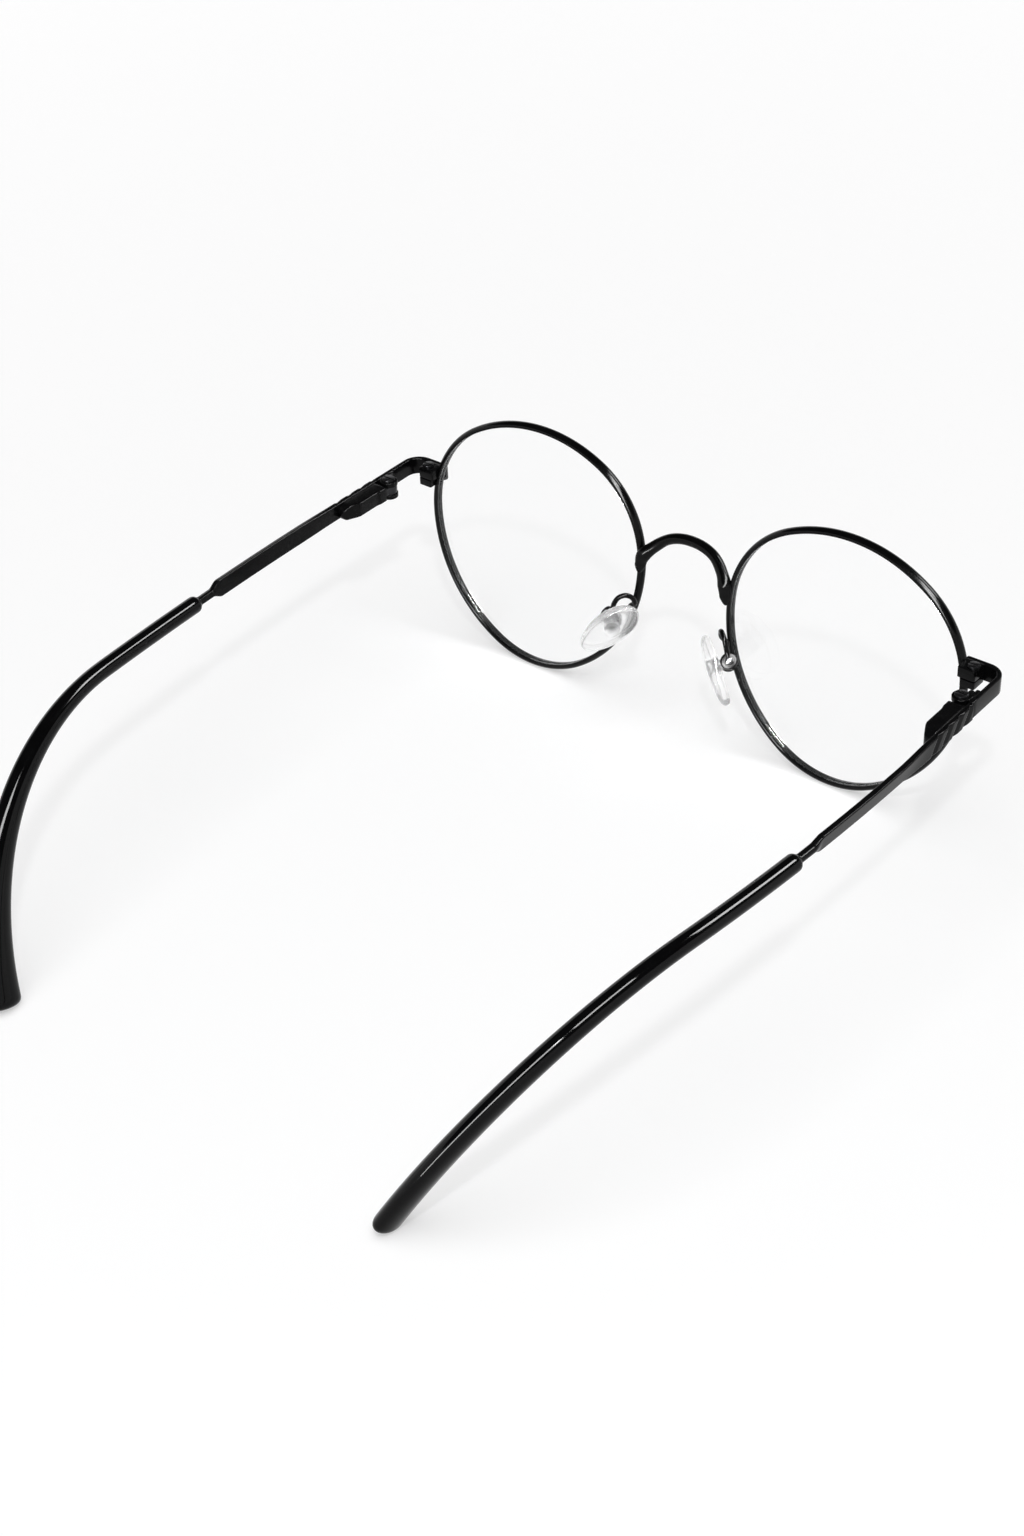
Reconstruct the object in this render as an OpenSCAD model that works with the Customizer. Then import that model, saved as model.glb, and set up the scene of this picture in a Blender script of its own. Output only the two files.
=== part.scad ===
/* [Fit] */
// Width of one lens
lens_w = 50; // [44:0.5:54]
// Gap between the lenses at the bridge
bridge_w = 20; // [17:0.5:23]
// Length of the temple from the hinge seam to its end, along the temple
temple_l = 148.5; // [138:0.5:152]
// Forward lean of the front
tilt = 6.5; // [3:0.5:9]
// Backward turn of each rim at its outer side
wrap = 0.8; // [0:0.1:3]

/* [Rim] */
// Thickness of the rim wire across the lens plane
rim_t = 1.15; // [1:0.05:1.3]
// Depth of the rim wire, front to back
rim_d = 2.0; // [1.8:0.05:2.2]
// Radius of the rounded outer side of the rim wire
crown_r = 1.1; // [1.1:0.05:1.5]
// How far the three soft corners of the rim stand out
lobe = 0.77; // [0.1:0.01:1.2]
// Turn of the soft corners
lobe_turn = 3.5; // [0:0.5:10]
// Depth of the lens groove
groove = 0.4; // [0.3:0.05:0.5]
// Width of the lens groove at its mouth
groove_w = 0.8; // [0.6:0.05:1.0]
// Slit between the rim's two ends
slit = 0.3; // [0.2:0.05:0.5]

/* [Lens] */
// Thickness of the lens
lens_t = 1.6; // [1.2:0.1:2.2]
// Radius of the lens's front surface
lens_r = 132; // [90:1:260]
// Gap all round the lens
lens_gap = 0.06; // [0.03:0.01:0.1]

/* [Bridge] */
// Radius of the bridge wire
bridge_r = 1.05; // [0.9:0.05:1.2]
// Height of the middle of the bridge above the rim centres
bridge_h = 11.7; // [11:0.1:13]
// How far the bridge bows forward
bridge_bow = 1.4; // [0.5:0.1:2.5]
// Height at which the bridge's feet end above the rim centres
foot_h = 2.6; // [1.5:0.1:4]

/* [End piece and closing block] */
// Thickness of the end piece strip
strip_t = 0.95; // [0.8:0.05:1.1]
// Height of the end piece strip
strip_h = 3.5; // [3.2:0.1:4]
// Thickness of the strip's end that lies in front of the rim
lug_t = 0.5; // [0.3:0.05:0.7]
// Outer radius of the end piece's corner
corner_r = 3.6; // [2.5:0.1:4.5]
// Reach of the end piece beyond the rim
reach = 7.4; // [7.3:0.1:10]
// Height of the temple's middle above the rim centres
temple_up = 7.3; // [5:0.1:9]
// Distance of the seam behind the end piece's front face
seam_back = 12.7; // [11.8:0.1:15]
// Width of the closing block
block_w = 3.35; // [3.1:0.05:3.6]
// How far the closing block laps over the rim's rear
block_lap = 0.5; // [0.3:0.05:0.7]
// Depth of the closing block
block_d = 3.4; // [3:0.1:3.6]
// Radius of the closing screw's shank
lock_r = 0.6; // [0.5:0.05:0.7]
// Distance of the rim's slit below the temple's middle
slit_down = 0.4; // [0:0.1:0.8]

/* [Hinge] */
// Distance of the hinge pin from the end piece's inner face
pin_in = 1.85; // [1.85:0.05:2]
// Distance of the hinge pin ahead of the seam
pin_ahead = 1.0; // [0.9:0.05:1.2]
// Radius of the hinge knuckles
knuckle_r = 1.75; // [1.6:0.05:1.75]
// Height of the hinge from ear to ear
hinge_h = 3.6; // [3.4:0.1:4]
// Height of the middle knuckle
tongue_h = 1.6; // [1.4:0.1:1.8]
// Radius of the hinge screw's shank
screw_r = 0.6; // [0.5:0.05:0.65]
// Wall of the bush on the hinge screw
bush_t = 0.25; // [0.2:0.05:0.3]
// Running clearance of pins in their bores
run = 0.03; // [0.02:0.01:0.06]
// Gap between faces that move past each other
gap = 0.08; // [0.05:0.01:0.12]

/* [Spring housing] */
// Length of the spring housing
housing_l = 11; // [10.5:0.1:13]
// Length over which the housing's rear end narrows
housing_taper = 3.4; // [2.5:0.1:4]
// Width of the housing at its rear end
housing_end = 1.5; // [1:0.1:2]
// Height of the spring housing
housing_h = 3.0; // [2.9:0.1:3.4]
// Distance of the housing's front behind the seam
housing_back = 1.2; // [1.1:0.1:1.6]
// Radius of the spring's chamber
chamber_r = 0.8; // [0.75:0.05:0.9]
// Radius of the spring's wire
spring_wire_r = 0.12; // [0.1:0.01:0.14]
// Turns of the spring
spring_turns = 7; // [5:1:8]
// Radius of the slider's rod
rod_r = 0.35; // [0.3:0.05:0.4]

/* [Temple] */
// How far the bar's outer face stands out from the end piece's
bar_step = 0.3; // [0.2:0.05:0.4]
// Thickness of the temple bar
bar_t = 1.15; // [1:0.05:1.4]
// Height of the temple bar
bar_h = 3.3; // [3.2:0.05:3.6]
// Length of the flat bar behind the seam
bar_l = 48; // [44:1:50]
// Straight length of the bar before its slight inward curve
bar_straight = 13.6; // [13.5:0.1:16]
// Radius of the slight inward curve
bow_r = 610; // [400:10:900]
// Upward lean of the slight inward curve
bow_rise = 11; // [0:1:15]
// Radius of the core wire
core_r = 0.85; // [0.7:0.05:0.9]
// Coined notches on the outer face
notches = 4; // [2:1:5]
// Depth of a coined notch
notch_d = 0.3; // [0.2:0.05:0.4]
// Distance from one notch to the next
notch_pitch = 3.5; // [3:0.1:4]
// Lean of the notches
notch_lean = 35; // [20:1:45]

/* [Tip] */
// Distance from the seam to the front of the tip
tip_at = 52.4; // [51:0.1:55]
// Distance from the seam to the start of the ear bend
bend_at = 79.5; // [76:0.5:84]
// Radius of the ear bend
bend_r = 53.5; // [48:0.5:60]
// Inward twist of the ear bend
bend_twist = 14; // [5:1:25]
// Radius of the tip at its front
tip_r = 1.65; // [1.5:0.05:1.8]
// Height of the tip at its paddle end
paddle_h = 6.6; // [5:0.1:7.5]
// Thickness of the tip at its paddle end
paddle_t = 3.8; // [3:0.1:4.2]

/* [Nose pads] */
// Length of a pad
pad_l = 14; // [12:0.5:15]
// Width of a pad
pad_w = 7.6; // [6.5:0.1:8.5]
// Thickness of a pad
pad_t = 2.3; // [2.1:0.1:2.6]
// Radius of the pad arm's wire
arm_r = 0.5; // [0.4:0.05:0.55]
// Radius of the pad box
box_r = 1.6; // [1.5:0.05:1.7]
// Radius of the pad screw's shank
pad_screw_r = 0.45; // [0.4:0.05:0.5]
// Distance of the pad's middle outside the lens edge
pad_out = 2.2; // [1.5:0.1:3]
// Distance of the pad's middle behind the rims
pad_back = 6.5; // [6:0.1:7.5]
// Distance of the pad's middle below the rim centres
pad_down = 8.35; // [7:0.05:9]

/* [Hidden] */

// Rim wire centreline: six arcs, three tight ones at the soft corners and three flat ones between
bevel = 0.3;
rim_r = lens_w/2 + bevel;
rim_x = (lens_w + bridge_w)/2 + bevel;
arc_off = lobe/(1 - cos(30));
tight_r = rim_r + lobe - arc_off;
flat_r = rim_r - lobe + arc_off;
function arc_dir(k) = 30 - lobe_turn + 60*k;
function arc_sign(k) = k % 2 == 0 ? 1 : -1;
function arc_rad(k) = k % 2 == 0 ? tight_r : flat_r;
function dir2(a) = [cos(a), sin(a)];
function arc_mid(k) = arc_sign(k)*arc_off*dir2(arc_dir(k));
function outline(inset, step = 5) = [
  for (k = [0:5], a = [-30:step:29.9]) arc_mid(k) + (arc_rad(k) - inset)*dir2(arc_dir(k) + a)
];
function outline_r(t) =
  let (k = floor(((t - arc_dir(0) + 30) % 360 + 360) % 360/60), m = arc_mid(k),
       b = m*dir2(t))
  b + sqrt(b*b + arc_rad(k)*arc_rad(k) - m*m);

// Places in the resting frame; the front's origin is midway between the rim centres
rim_low = tight_r - arc_mid(4)[1] + rim_t/2;
rim_h = (rim_low - crown_r)*cos(tilt) + crown_r;
temple_z = rim_h + temple_up;
side_x = rim_x + outline_r(0) + reach;
front_face = -temple_up*tan(tilt) - rim_d/2 - lug_t;
seam_y = front_face + seam_back;
strip_in = side_x - strip_t;
pin_x = strip_in - pin_in;
pin_y = seam_y - pin_ahead;
bar_out = side_x + bar_step;
bar_x = bar_out - bar_t/2;
bar_in = bar_out - bar_t;
lock_t = asin(temple_up/rim_r);
rim_out = rim_x + outline_r(lock_t)*cos(lock_t) + rim_t/2;
block_drop = 0.2;
block_top = temple_z + strip_h/2;
block_low = temple_z - strip_h/2 - block_drop;
block_out = rim_out + block_w - block_lap;
lock_wall = 0.55;
lock_x = block_out - lock_wall - lock_r;
lock_y = front_face + strip_t + block_d/2;
seat = 0.02;
fine = 32;

// Temple path after the seam
bow_end = (bend_at - bar_straight)/bow_r*180/PI;
bend_a = (temple_l - bend_at)/bend_r*180/PI;
bow_out = [cos(bow_rise), 0, -sin(bow_rise)];
bow_up = [sin(bow_rise), 0, cos(bow_rise)];
bow_mid = [bar_x, seam_y + bar_straight, temple_z] - bow_r*bow_out;
function bow_dir(a) = cos(a)*bow_out + sin(a)*[0, 1, 0];
bend_p = bow_mid + bow_r*bow_dir(bow_end);
bend_fwd = bow_dir(bow_end + 90);
bend_down = -cos(bend_twist)*bow_up - sin(bend_twist)*bow_dir(bow_end);
bend_side = sin(bend_twist)*bow_up - cos(bend_twist)*bow_dir(bow_end);
function temple_pt(s) = s < bend_at
  ? bow_mid + bow_r*bow_dir((s - bar_straight)/bow_r*180/PI)
  : let (a = (s - bend_at)/bend_r*180/PI)
    bend_p + bend_r*sin(a)*bend_fwd + bend_r*(1 - cos(a))*bend_down;
function temple_up_dir(s) =
  let (a = max(0, s - bend_at)/bend_r*180/PI) -cos(a)*bend_down + sin(a)*bend_fwd;
function temple_ring(s, w, h) =
  let (a = (min(s, bend_at) - bar_straight)/bow_r*180/PI, up = temple_up_dir(s),
       side = s < bend_at ? unit(cross(up, bow_dir(a + 90))) : bend_side)
  ring(temple_pt(s), side, up, w, h, 14);

// Rings of the tip's outer skin: a round nose, an even tube, then a growing paddle with a round end
nose_l = 0.8*tip_r;
end_l = paddle_t/2;
function ease(t) = t*t*(3 - 2*t);
function round_off(f) = sqrt(max(0, 1 - (1 - f)*(1 - f)));
function tip_ring(s) =
  let (g = ease(max(0, (s - bend_at)/(temple_l - bend_at))),
       nose = max(round_off(min(1, (s - tip_at)/nose_l)), core_r/tip_r + 0.2),
       k = nose*max(0.08, round_off(min(1, (temple_l - s)/end_l))))
  temple_ring(s, k*(tip_r + g*(paddle_t/2 - tip_r)), k*(tip_r + g*(paddle_h/2 - tip_r)));
tip_places = concat(
  [for (f = [0, 0.25, 0.6]) tip_at + nose_l*f],
  [for (i = [0:4]) tip_at + nose_l + (bend_at - tip_at - nose_l)*i/4],
  [for (i = [1:16]) bend_at + (temple_l - end_l - bend_at)*i/16],
  [for (f = [0.6, 0.3, 0.1, 0]) temple_l - end_l*f]
);
tip_rings = [for (d = tip_places) tip_ring(d)];

// Origin at the bottom centre of the whole object's box
back_y = max([for (r = tip_rings, p = r) p[1]]);
bulge = sqrt(lens_r*lens_r - lens_w*lens_w/4) - lens_t/2;
fore_y = min(bulge*cos(tilt) - lens_r, -(outline_r(90) + rim_t/2)*sin(tilt) - rim_d/2*cos(tilt));
mid_y = (back_y + fore_y)/2;

module placed(s) translate([0, -mid_y, 0]) mirror([s < 0 ? 1 : 0, 0, 0]) children();
module on_front() translate([0, 0, rim_h]) rotate([tilt, 0, 0]) children();
module at_rim() on_front() translate([rim_x, 0, 0]) rotate([0, 0, wrap]) rotate([90, 0, 0]) children();
module at_pin() translate([pin_x, pin_y, temple_z]) children();

// Skin over a list of rings with the same number of points, with flat ends or closed into a loop
module skin(rings, closed = false) {
  n = len(rings[0]);
  m = len(rings);
  sides = [
    for (i = [0:m - (closed ? 1 : 2)], j = [0:n - 1])
      let (a = i*n + j, b = i*n + (j + 1) % n, c = (a + n) % (m*n), d = (b + n) % (m*n))
        each [[a, b, d], [a, d, c]]
  ];
  first = [for (j = [1:n - 2]) [0, j + 1, j]];
  last = [for (j = [1:n - 2]) (m - 1)*n*[1, 1, 1] + [0, j, j + 1]];
  polyhedron([for (r = rings) each r], closed ? sides : concat(sides, first, last), convexity = 6);
}
function unit(v) = v/norm(v);
// One ring of n points round p, with half sizes w along x and h along y
function ring(p, x, y, w, h, n = 12) =
  [for (j = [0:n - 1]) p - w*cos(360*j/n)*x + h*sin(360*j/n)*y];
// Smooth curve through points, as t runs from 0 to len - 1
function spline(p, t) =
  let (n = len(p), i = min(floor(t), n - 2), f = t - i,
       a = p[max(i - 1, 0)], b = p[i], c = p[i + 1], d = p[min(i + 2, n - 1)])
  0.5*(2*b + (c - a)*f + (2*a - 5*b + 4*c - d)*f*f + (3*b - a - 3*c + d)*f*f*f);
function spline_dir(p, t) = unit(spline(p, min(t + 0.02, len(p) - 1)) - spline(p, max(t - 0.02, 0)));

// Rim

// Wire section as points: outward from the lens in x, forward in y, crowned outside, grooved inside
function wire_section(grow = 0) =
  let (d = rim_d/2 + grow, r = crown_r + grow, a = asin(d/r), x = rim_t/2 + grow, e = x - r)
  concat(
    [for (i = [-3:3]) [e + r*cos(a*i/3), r*sin(a*i/3)]],
    [[-x, d], [-x, groove_w/2 - grow], [groove - x, groove_w/4 - grow],
     [groove - x, grow - groove_w/4], [-x, grow - groove_w/2], [-x, -d]]
  );
module rim_sweep(section) {
  skin([
    for (k = [0:5], a = [-30:5:29.9])
      let (d = dir2(arc_dir(k) + a), m = arc_mid(k) + arc_rad(k)*d)
      [for (q = section) [m[0] + q[0]*d[0], m[1] + q[0]*d[1], q[1]]]
  ], closed = true);
}
module rim(s) {
  color("#111111") placed(s) difference() {
    at_rim() rim_sweep(wire_section());
    translate([rim_out - 3, -5, temple_z - slit_down - slit/2]) cube([5, 10, slit]);
  }
}

// Lens

module lens_dish(inset) {
  intersection() {
    translate([0, 0, -3]) linear_extrude(8) polygon(outline(inset));
    difference() {
      translate([0, 0, -bulge]) sphere(lens_r, $fn = 360);
      translate([0, 0, -bulge - lens_t]) sphere(lens_r, $fn = 360);
    }
  }
}
module lens(s) {
  flange_t = groove_w/2 - 2*lens_gap;
  color("aliceblue", 0.3) placed(s) at_rim() union() {
    lens_dish(rim_t/2 + lens_gap);
    linear_extrude(flange_t, center = true) difference() {
      polygon(outline(rim_t/2 - groove + lens_gap));
      polygon(outline(rim_t/2 + 0.6));
    }
  }
}

// Closing block: the two ends of the rim wire are brazed to its halves

module rim_envelope() {
  at_rim() rim_sweep(wire_section(seat));
}
module block_half(s, low, high) {
  up = (low + high)/2 - rim_h;
  in = rim_x + sqrt(pow(outline_r(lock_t), 2) - up*up) + rim_t/2 - block_lap;
  placed(s) difference() {
    translate([in, front_face + strip_t, low]) cube([block_out - in, block_d, high - low]);
    rim_envelope();
    translate([lock_x, lock_y, low - 1]) cylinder(r = lock_r + run, h = high - low + 2, $fn = fine);
  }
}
module rim_block_upper(s) color("#151515")
  block_half(s, temple_z - slit_down + slit/2, block_top);
module rim_block_lower(s) color("#151515")
  block_half(s, block_low, temple_z - slit_down - slit/2);
module rim_screw(s) {
  head_r = lock_r + 0.5;
  head_h = 0.45;
  color("#303030") placed(s) translate([lock_x, lock_y, 0]) difference() {
    union() {
      translate([0, 0, block_low]) cylinder(r = lock_r, h = block_top - block_low, $fn = fine);
      translate([0, 0, block_top]) cylinder(r = head_r, h = head_h, $fn = fine);
    }
    translate([-head_r - 1, -0.15, block_top + head_h - 0.25]) cube([2*head_r + 2, 0.3, 1]);
  }
}

// End piece: a flat strip that laps over the rim's front, turns a round corner and runs back to the seam

module corner_plan(from, front, side, r, back) {
  translate([side - r, front + r]) circle(r, $fn = 72);
  translate([from, front]) square([side - r - from, back - front]);
  translate([from, front + r]) square([side - from, back - front - r]);
}
module end_piece(s) {
  start = rim_out - rim_t;
  color("#202020") placed(s) difference() {
    translate([0, 0, temple_z - strip_h/2]) linear_extrude(strip_h) difference() {
      corner_plan(start, front_face, side_x, corner_r, seam_y);
      corner_plan(start - 1, front_face + strip_t, strip_in, corner_r - strip_t, seam_y + 1);
    }
    rim_envelope();
    at_rim() translate([0, 0, -rim_d]) linear_extrude(rim_d*1.5 + seat) polygon(outline(0));
  }
}

// Hinge: a two-eared fork on the end piece, the slider's knuckle between the ears

ear_h = (hinge_h - tongue_h)/2 - gap;
module ear() {
  difference() {
    union() {
      cylinder(r = knuckle_r, h = ear_h, $fn = 48);
      translate([0, -knuckle_r, 0]) cube([pin_in, knuckle_r - 0.2, ear_h]);
    }
    translate([0, 0, -1]) cylinder(r = screw_r + run, h = ear_h + 2, $fn = fine);
  }
}
module hinge_fork(s) {
  web_t = 0.6;
  web_l = 1.6;
  color("#181818") placed(s) at_pin() union() {
    translate([0, 0, -hinge_h/2]) ear();
    translate([0, 0, hinge_h/2 - ear_h]) ear();
    translate([pin_in - web_t, web_t/3 - knuckle_r - web_l, -hinge_h/2]) cube([web_t, web_l, hinge_h]);
  }
}
module hinge_screw(s) {
  head_r = screw_r + 0.65;
  head_h = 0.45;
  color("#404040") placed(s) at_pin() difference() {
    union() {
      translate([0, 0, -hinge_h/2]) cylinder(r = screw_r, h = hinge_h, $fn = fine);
      translate([0, 0, hinge_h/2]) cylinder(r = head_r, h = head_h, $fn = fine);
    }
    translate([-head_r - 1, -0.15, hinge_h/2 + head_h - 0.25]) cube([2*head_r + 2, 0.3, 1]);
  }
}
bush_r = screw_r + run + bush_t;
module hinge_bush(s) {
  color("darkgoldenrod") placed(s) at_pin() translate([0, 0, -tongue_h/2]) difference() {
    cylinder(r = bush_r, h = tongue_h, $fn = fine);
    translate([0, 0, -1]) cylinder(r = screw_r + run, h = tongue_h + 2, $fn = fine);
  }
}

// Spring hinge: slider, spring and nut in a housing on the inner face of the bar

tongue_w = 2;
house_y = pin_ahead + housing_back;
slot_l = 2.2;
shoulder_l = 0.6;
chamber_y = house_y + slot_l + shoulder_l;
chamber_l = housing_l - housing_taper - slot_l - shoulder_l;
house_wall = 0.3;
house_w = bar_in - pin_x + tongue_w/2 + run + house_wall;
waist_w = bar_in - pin_x + chamber_r + house_wall;
nut_l = 0.7;
end_room = 0.3;
spring_l = chamber_l - nut_l - end_room;
nut_y = chamber_y + spring_l;
rod_end = nut_y + nut_l + end_room/2;
module hinge_slider(s) {
  color("#707070") placed(s) at_pin() union() {
    difference() {
      union() {
        translate([0, 0, -tongue_h/2]) cylinder(r = knuckle_r, h = tongue_h, $fn = 48);
        translate([-tongue_w/2, 0, -tongue_h/2]) cube([tongue_w, house_y + slot_l - gap, tongue_h]);
      }
      translate([0, 0, -tongue_h]) cylinder(r = bush_r + run, h = 2*tongue_h, $fn = fine);
    }
    translate([0, house_y + slot_l - 0.3, 0]) rotate([-90, 0, 0])
      cylinder(r = rod_r, h = rod_end - house_y - slot_l + 0.3, $fn = fine);
  }
}
module slider_nut(s) {
  color("silver") placed(s) at_pin() translate([0, nut_y, 0]) rotate([-90, 0, 0]) difference() {
    cylinder(r = chamber_r - 0.12, h = nut_l, $fn = fine);
    translate([0, 0, -1]) cylinder(r = rod_r + seat, h = nut_l + 2, $fn = fine);
  }
}
module flex_spring(s) {
  play = 0.06;
  coil_r = chamber_r - spring_wire_r - play;
  steps = 8*spring_turns;
  rise = spring_l - 2*spring_wire_r - play;
  color("lightsteelblue") placed(s) at_pin() skin([
    for (i = [0:steps])
      let (a = 45*i, r = [cos(a), 0, sin(a)],
           f = unit([-sin(a)*coil_r, rise/spring_turns/2/PI, cos(a)*coil_r]))
      ring(r*coil_r + [0, chamber_y + spring_wire_r + play/2 + rise*i/steps, 0], r, cross(f, r),
           spring_wire_r, spring_wire_r, 6)
  ]);
}
// The housing is widest round the slider's slot, then narrows twice towards the bar
module housing_plan() {
  corner = 0.4;
  translate([bar_in, 0]) polygon([
    [0, 0], [corner - house_w, 0], [-house_w, corner], [-house_w, slot_l], [-waist_w, slot_l + shoulder_l],
    [-waist_w, housing_l - housing_taper], [-housing_end - corner/2, housing_l - corner],
    [-housing_end, housing_l], [0, housing_l]
  ]);
}
module spring_housing(s) {
  color("#181818") placed(s) translate([0, pin_y + house_y, temple_z]) difference() {
    translate([0, 0, -housing_h/2]) linear_extrude(housing_h) housing_plan();
    translate([pin_x - tongue_w/2 - run, -1, -tongue_h/2 - run])
      cube([tongue_w + 2*run, slot_l + 1, tongue_h + 2*run]);
    translate([pin_x, 0, 0]) rotate([-90, 0, 0])
      cylinder(r = rod_r + run, h = slot_l + shoulder_l + 1, $fn = fine);
    translate([pin_x, slot_l + shoulder_l, 0]) rotate([-90, 0, 0])
      cylinder(r = chamber_r, h = chamber_l, $fn = fine);
  }
}

// Temple bar with its core wire

// One outline with its corners in flats, so that the straight part and the bow meet edge to edge
module bar_profile(t = bar_t, h = bar_h) {
  edge_r = 0.25;
  polygon([
    for (k = [0:3], i = [0:3]) let (a = 90*k + 30*i, x = k % 3 == 0 ? 1 : -1, y = k < 2 ? 1 : -1)
      [x*(t/2 - edge_r) + edge_r*cos(a), y*(h/2 - edge_r) + edge_r*sin(a)]
  ]);
}
module notch_cuts() {
  // Each notch falls away over ramp and comes back up over rise
  ramp = 1.3;
  rise = 0.3;
  half = (ramp + rise)/2;
  over = 0.1;
  for (i = [0:notches - 1])
    translate([bar_out, seam_y + ramp + rise + i*notch_pitch, temple_z]) rotate([notch_lean, 0, 0])
      linear_extrude(2*bar_h, center = true)
        polygon([[over, -half - over], [0, -half], [-notch_d, ramp - half], [0, half], [over, half + over]]);
}
bar_a = (bar_l - bar_straight)/bow_r*180/PI;
core_end = temple_l - 18;
core_room = 0.04;
// Places along the wire, close together round the bend
function core_steps(from, to) = concat(
  [for (i = [0:3]) from + (bend_at - from)*i/4],
  [for (i = [0:12]) bend_at + (to - bend_at)*i/12]
);
module temple_bar(s) {
  color("#202020") placed(s) union() {
    difference() {
      union() {
        translate([bar_x, seam_y + gap, temple_z]) rotate([-90, 0, 0])
          linear_extrude(bar_straight - gap) bar_profile();
        translate(bow_mid) rotate([0, bow_rise, 0]) rotate_extrude(angle = bar_a, $fn = 720)
          translate([bow_r, 0]) rotate(bow_rise) bar_profile();
      }
      notch_cuts();
    }
    skin([for (d = core_steps(bar_l - 0.5, core_end)) temple_ring(d, core_r, core_r)]);
  }
}

// Temple tip: a tube on the core wire that grows into a flat paddle

module temple_tip(s) {
  bore = core_steps(tip_at, core_end + core_room);
  color("#050505") placed(s) skin(concat(
    [for (i = [len(bore) - 1:-1:0]) temple_ring(bore[i], core_r + core_room, core_r + core_room)],
    tip_rings
  ));
}

// Bridge: a round wire arch whose ends thin out into feet along the rims

function nasal_t(h) = 180 - asin(h/rim_r);
function rim_pt(t) = let (r = outline_r(t))
  [rim_x + r*cos(t)*cos(wrap), r*cos(t)*sin(wrap), r*sin(t)];
// Wire centre that rests on the rim's rounded rear corner at height h, seen at angle a
function foot_pt(h, r, a) = let (p = rim_pt(nasal_t(h)), d = crown_r + r + 0.04)
  [p[0] + crown_r - rim_t/2 - d*cos(a), p[1] + d*sin(a), h];
module bridge() {
  arch_x = bridge_w/2;
  half = [
    foot_pt(foot_h, 0.35, 62), foot_pt(foot_h + 2, 0.6, 55), foot_pt(foot_h + 4, 0.95, 35),
    [arch_x - 2.4, -0.2*bridge_bow, bridge_h - 3.1], [arch_x - 4.6, -0.75*bridge_bow, bridge_h - 1.3],
    [2.8, -0.95*bridge_bow, bridge_h - 0.3], [0, -bridge_bow, bridge_h]
  ];
  thick = [0.32, 0.6, 0.93, 1, 1, 1, 1];
  path = concat(half, [for (i = [5:-1:0]) [-half[i][0], half[i][1], half[i][2]]]);
  size = concat(thick, [for (i = [5:-1:0]) thick[i]]);
  steps = 4*(len(path) - 1);
  color("#111111") translate([0, -mid_y, 0]) on_front() skin([
    for (i = [0:steps])
      let (t = i/4, k = floor(min(t, len(path) - 2)), w = size[k] + (size[k + 1] - size[k])*(t - k),
           d = spline_dir(path, t), x = unit(cross([0, 1, 0], d)))
      ring(spline(path, t), x, cross(d, x), bridge_r*w, bridge_r*w, 12)
  ]);
}

// Pads stand on their own frame: x away from the nose, y across the pad, z up along it

pad_turn = [40.7, -16.9, -47.6];
pad_c = [bridge_w/2 + pad_out, pad_back, -pad_down];
function turned(a, v) =
  let (x = [v[0], v[1]*cos(a[0]) - v[2]*sin(a[0]), v[1]*sin(a[0]) + v[2]*cos(a[0])],
       y = [x[0]*cos(a[1]) + x[2]*sin(a[1]), x[1], x[2]*cos(a[1]) - x[0]*sin(a[1])])
  [y[0]*cos(a[2]) - y[1]*sin(a[2]), y[0]*sin(a[2]) + y[1]*cos(a[2]), y[2]];
function pad_pt(p) = pad_c + turned(pad_turn, p);
module at_pad() on_front() translate(pad_c) rotate(pad_turn) children();

box_c = [pad_t/2 + 0.35 + box_r, 0, 0.7];
slot_w = 1.2;
ear_w = 0.85;
box_w = slot_w + 2*ear_w;
module pad_arm(s) {
  root = rim_pt(180 + asin(5.4/rim_r)) + [0, rim_d/2 + arm_r + seat, 0];
  path = concat(
    [root - [0, 0, 0.4], root + [0.05, 0.05, 0.5]],
    [for (p = [[3.5, -1.3, 6.0], [3.5, 0.2, 6.7], [3.5, 1.6, 6.3], [3.5, 2.2, 5.0],
               [3.4, 1.9, 3.6], [3.3, 1.3, 2.5], [3.2, 1.1, 1.5]]) pad_pt(p)]
  );
  lean = turned(pad_turn, [1, 0, 0]);
  steps = 3*(len(path) - 1);
  color("#151515") placed(s) difference() {
    union() {
      on_front() skin([
        for (i = [0:steps])
          let (t = i/3, d = spline_dir(path, t), x = unit(cross(lean, d)))
          ring(spline(path, t), x, cross(d, x), arm_r, arm_r, 8)
      ]);
      at_pad() translate(box_c) rotate([90, 0, 0]) cylinder(r = box_r, h = box_w, center = true, $fn = 48);
    }
    at_pad() translate(box_c - [2*box_r - 1, slot_w/2, box_r + 0.5]) cube([2*box_r, slot_w, 2*box_r + 1]);
    at_pad() translate(box_c) rotate([90, 0, 0])
      cylinder(r = pad_screw_r + run, h = 2*box_w, center = true, $fn = fine);
  }
}
module pad_screw(s) {
  head_r = pad_screw_r + 0.4;
  head_h = 0.4;
  color("silver") placed(s) at_pad() translate(box_c) rotate([-90, 0, 0]) difference() {
    union() {
      translate([0, 0, -box_w/2]) cylinder(r = pad_screw_r, h = box_w, $fn = fine);
      translate([0, 0, box_w/2]) cylinder(r = head_r, h = head_h, $fn = fine);
    }
    translate([-head_r - 1, -0.12, box_w/2 + head_h - 0.22]) cube([2*head_r + 2, 0.24, 1]);
  }
}
stud_w = slot_w - 2*gap;
pocket_r = 1.5;
pocket_l = 1.0;
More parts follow.
